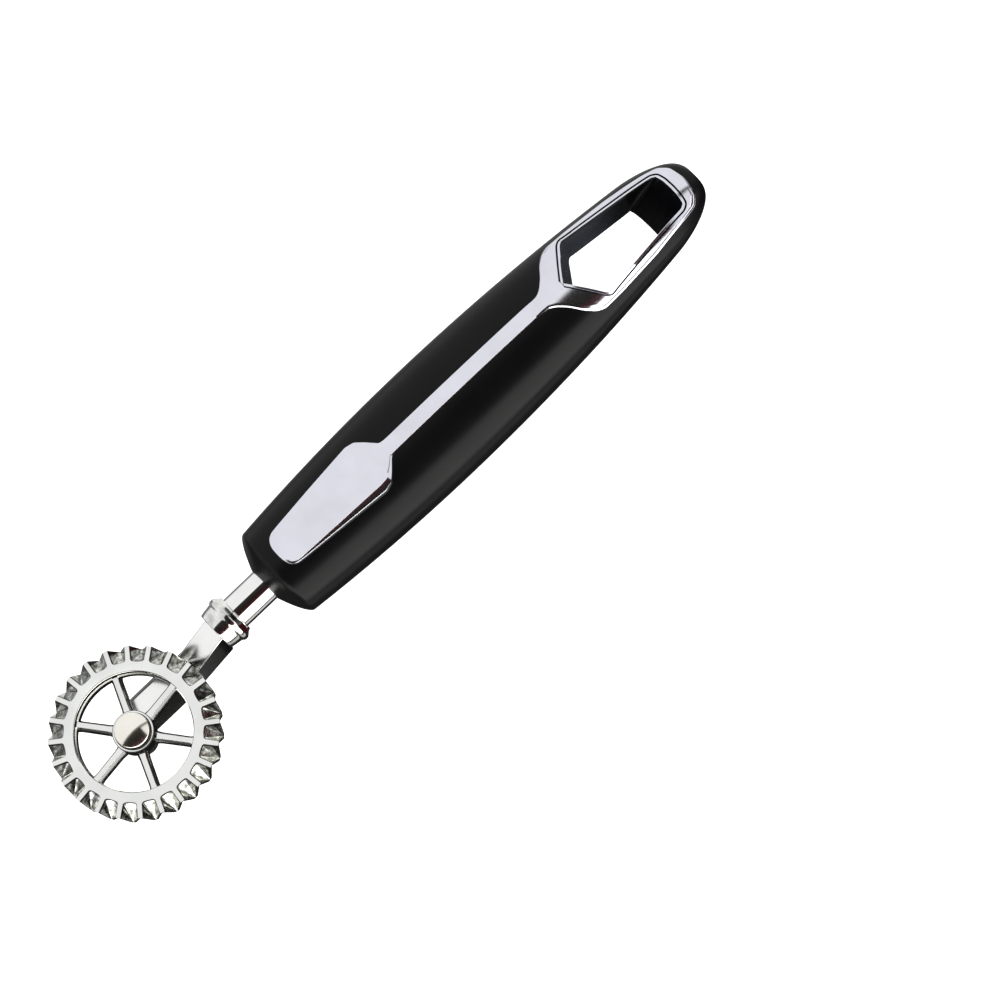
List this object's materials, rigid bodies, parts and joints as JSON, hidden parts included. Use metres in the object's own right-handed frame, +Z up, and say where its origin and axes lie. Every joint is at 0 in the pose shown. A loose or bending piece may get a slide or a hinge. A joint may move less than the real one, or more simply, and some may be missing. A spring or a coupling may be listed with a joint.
{
  "type": "pastry cutter wheel",
  "caption": "Hand tool with a toothed crimping wheel that spins on a rivet, a short steel rod and a soft black handle with a chrome trim and a hanging loop.",
  "frame": {"origin": "under the middle of the whole tool, on the surface it lies on", "axes": "+X from the wheel to the hanging loop, +Z up out of the chrome trim, parallel to the wheel's axle, +Y across"},
  "size_m": [0.2, 0.04, 0.0232],
  "materials": {
    "wheel_chrome": "satin chrome on a zinc casting",
    "rivet_steel": "polished",
    "washer_steel": "satin",
    "arm_chrome": "bright chrome plate",
    "collar_chrome": "bright chrome plate",
    "rod_chrome": "polished",
    "pin_steel": "bright drawn",
    "core_plastic": "moulded",
    "grip_soft": "soft-touch matte",
    "liner_gloss": "gloss",
    "trim_chrome": "satin chrome plate"
  },
  "bodies": {
    "tool_body": {"axle_rivet": "rivet_steel", "thrust_washer": "washer_steel", "tail_washer": "washer_steel", "wheel_arm": "arm_chrome", "collar": "collar_chrome", "shank_rod": "rod_chrome", "tang_pins": "pin_steel", "core_front": "core_plastic", "core_back": "core_plastic", "grip_cover": "grip_soft", "hang_liner": "liner_gloss", "arrow_trim": "trim_chrome"},
    "wheel": {"crimping_wheel": "wheel_chrome"}
  },
  "joints": [
    {"name": "wheel_spin", "type": "hinge", "parent": "tool_body", "child": "wheel", "pos_m": [-0.08, 0, 0.0112], "axis": [0, 0, 1], "continuous": true}
  ]
}
